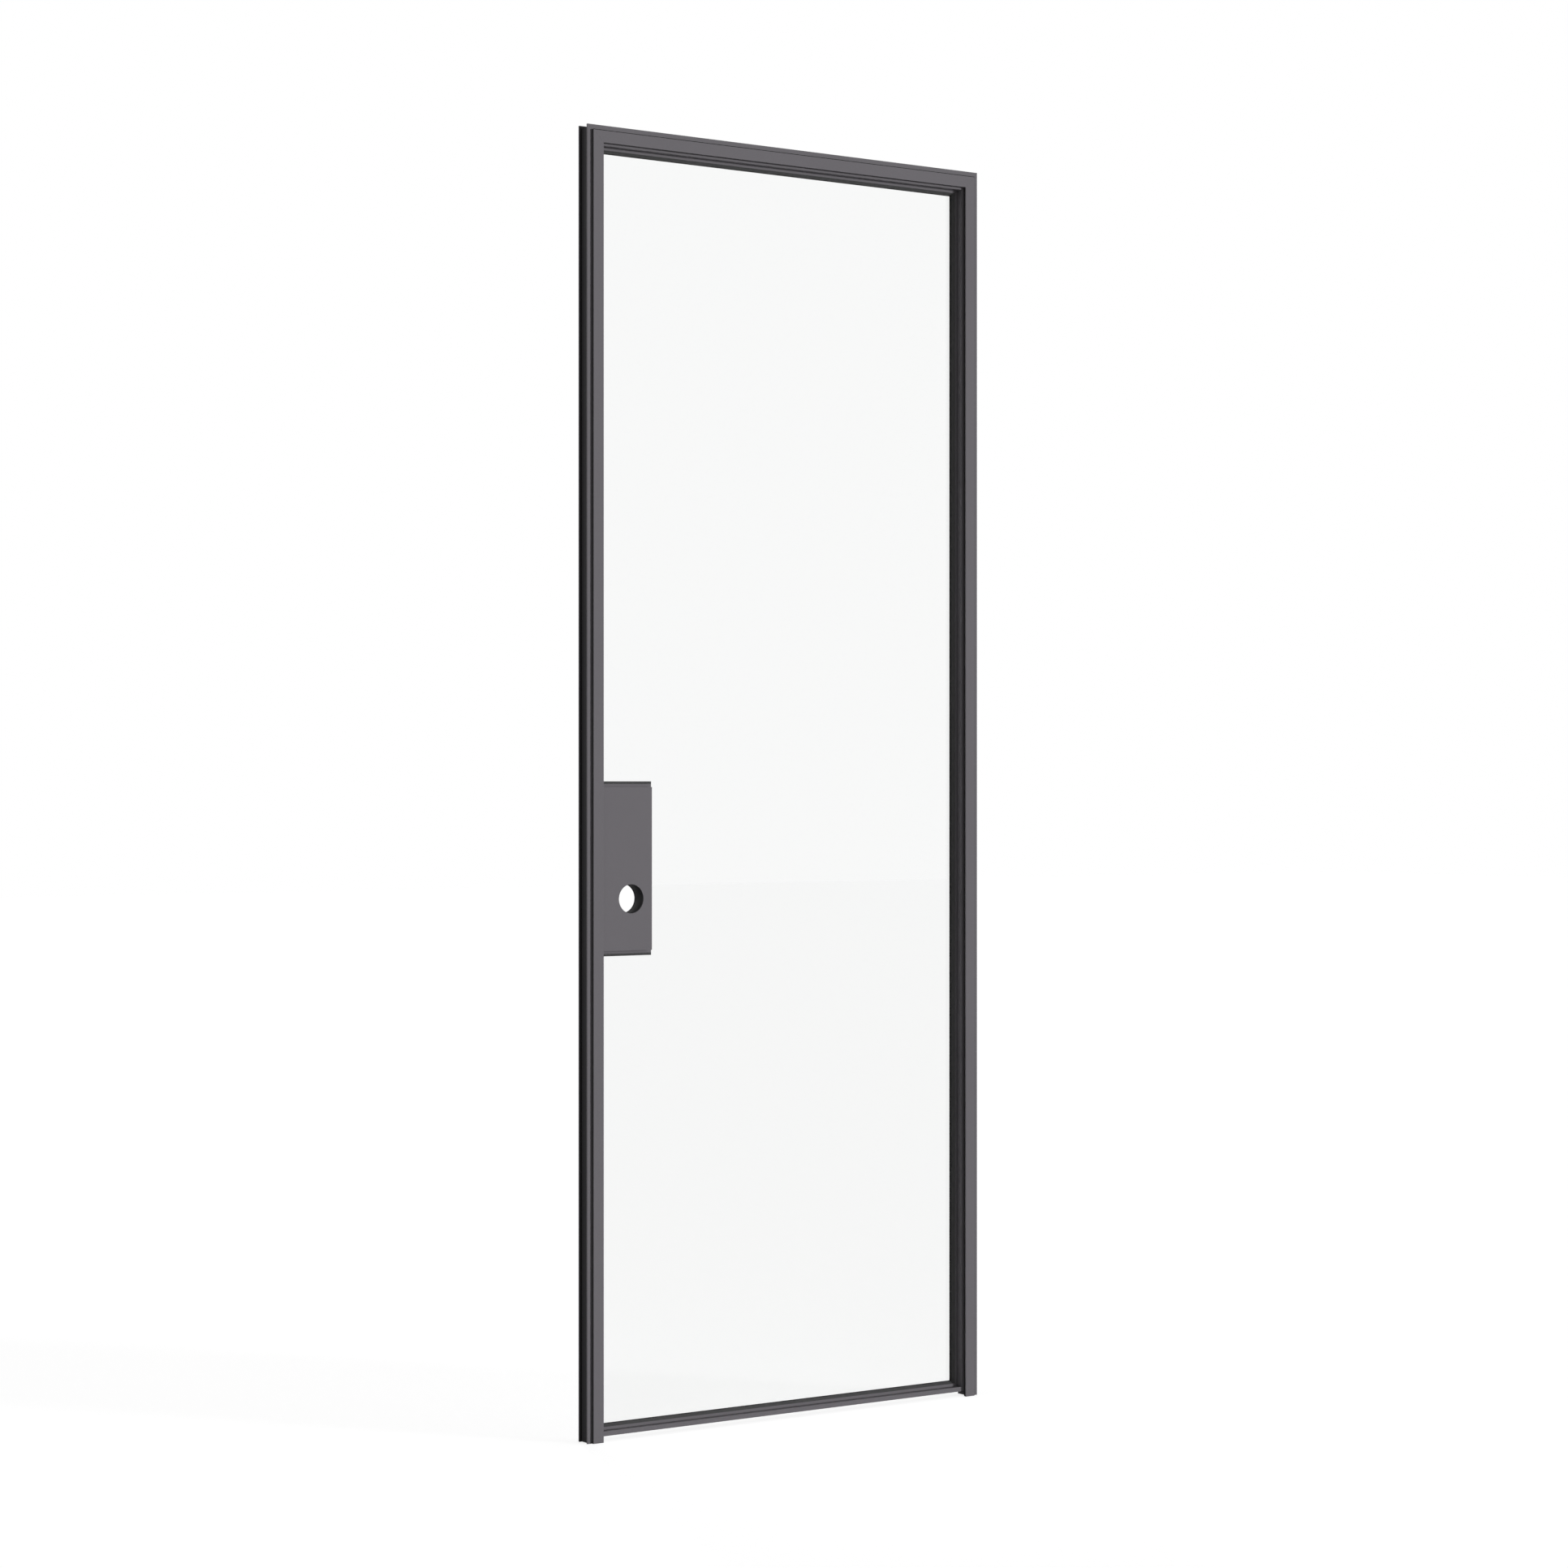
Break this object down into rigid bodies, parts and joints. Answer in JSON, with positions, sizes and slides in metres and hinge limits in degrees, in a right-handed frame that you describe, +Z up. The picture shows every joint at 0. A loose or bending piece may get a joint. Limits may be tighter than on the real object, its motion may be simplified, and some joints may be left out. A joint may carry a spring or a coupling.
{
  "type": "glass interior door",
  "caption": "Slim metal-framed glass door leaf with a bored lock case at its stile, hung on butt hinges in a metal frame of jambs and head with stop trims and seals.",
  "frame": {"origin": "at floor level on the face of the hinge jamb that meets the wall, in the middle of its throat", "axes": "+X out of that face towards the wall, +Y through the doorway to the side the leaf opens to, +Z up"},
  "size_m": [0.9144, 0.0526, 2.4384],
  "materials": {
    "dark_grey_metal": "satin dark warm-grey powder coat",
    "clear_glass": "clear, polished",
    "black_rubber": "matt",
    "hinge_steel": "satin"
  },
  "bodies": {
    "frame": {"hinge_jamb": "dark_grey_metal", "head_jamb": "dark_grey_metal", "strike_jamb": "dark_grey_metal", "hinge_stop": "dark_grey_metal", "head_stop": "dark_grey_metal", "strike_stop": "dark_grey_metal", "hinge_seal": "black_rubber", "head_seal": "black_rubber", "strike_seal": "black_rubber", "strike_plate": "hinge_steel", "hinge_1_frame_plate": "hinge_steel", "hinge_2_frame_plate": "hinge_steel", "hinge_3_frame_plate": "hinge_steel", "hinge_4_frame_plate": "hinge_steel", "hinge_1_pin": "hinge_steel", "hinge_2_pin": "hinge_steel", "hinge_3_pin": "hinge_steel", "hinge_4_pin": "hinge_steel"},
    "leaf": {"hinge_stile": "dark_grey_metal", "strike_stile": "dark_grey_metal", "top_rail": "dark_grey_metal", "bottom_rail": "dark_grey_metal", "top_front_bead": "dark_grey_metal", "top_back_bead": "dark_grey_metal", "bottom_front_bead": "dark_grey_metal", "bottom_back_bead": "dark_grey_metal", "hinge_front_bead": "dark_grey_metal", "hinge_back_bead": "dark_grey_metal", "strike_upper_front_bead": "dark_grey_metal", "strike_upper_back_bead": "dark_grey_metal", "strike_lower_front_bead": "dark_grey_metal", "strike_lower_back_bead": "dark_grey_metal", "lock_front_bead": "dark_grey_metal", "lock_back_bead": "dark_grey_metal", "glass_pane": "clear_glass", "front_gasket": "black_rubber", "back_gasket": "black_rubber", "lock_case": "dark_grey_metal", "lock_cover_front": "dark_grey_metal", "lock_cover_back": "dark_grey_metal", "hinge_1_leaf_plate": "hinge_steel", "hinge_2_leaf_plate": "hinge_steel", "hinge_3_leaf_plate": "hinge_steel", "hinge_4_leaf_plate": "hinge_steel"}
  },
  "joints": [
    {"name": "door_swing", "type": "hinge", "parent": "frame", "child": "leaf", "pos_m": [-0.0195, 0.0258, 1.2], "axis": [0, 0, -1], "range_deg": [0, 180]}
  ]
}
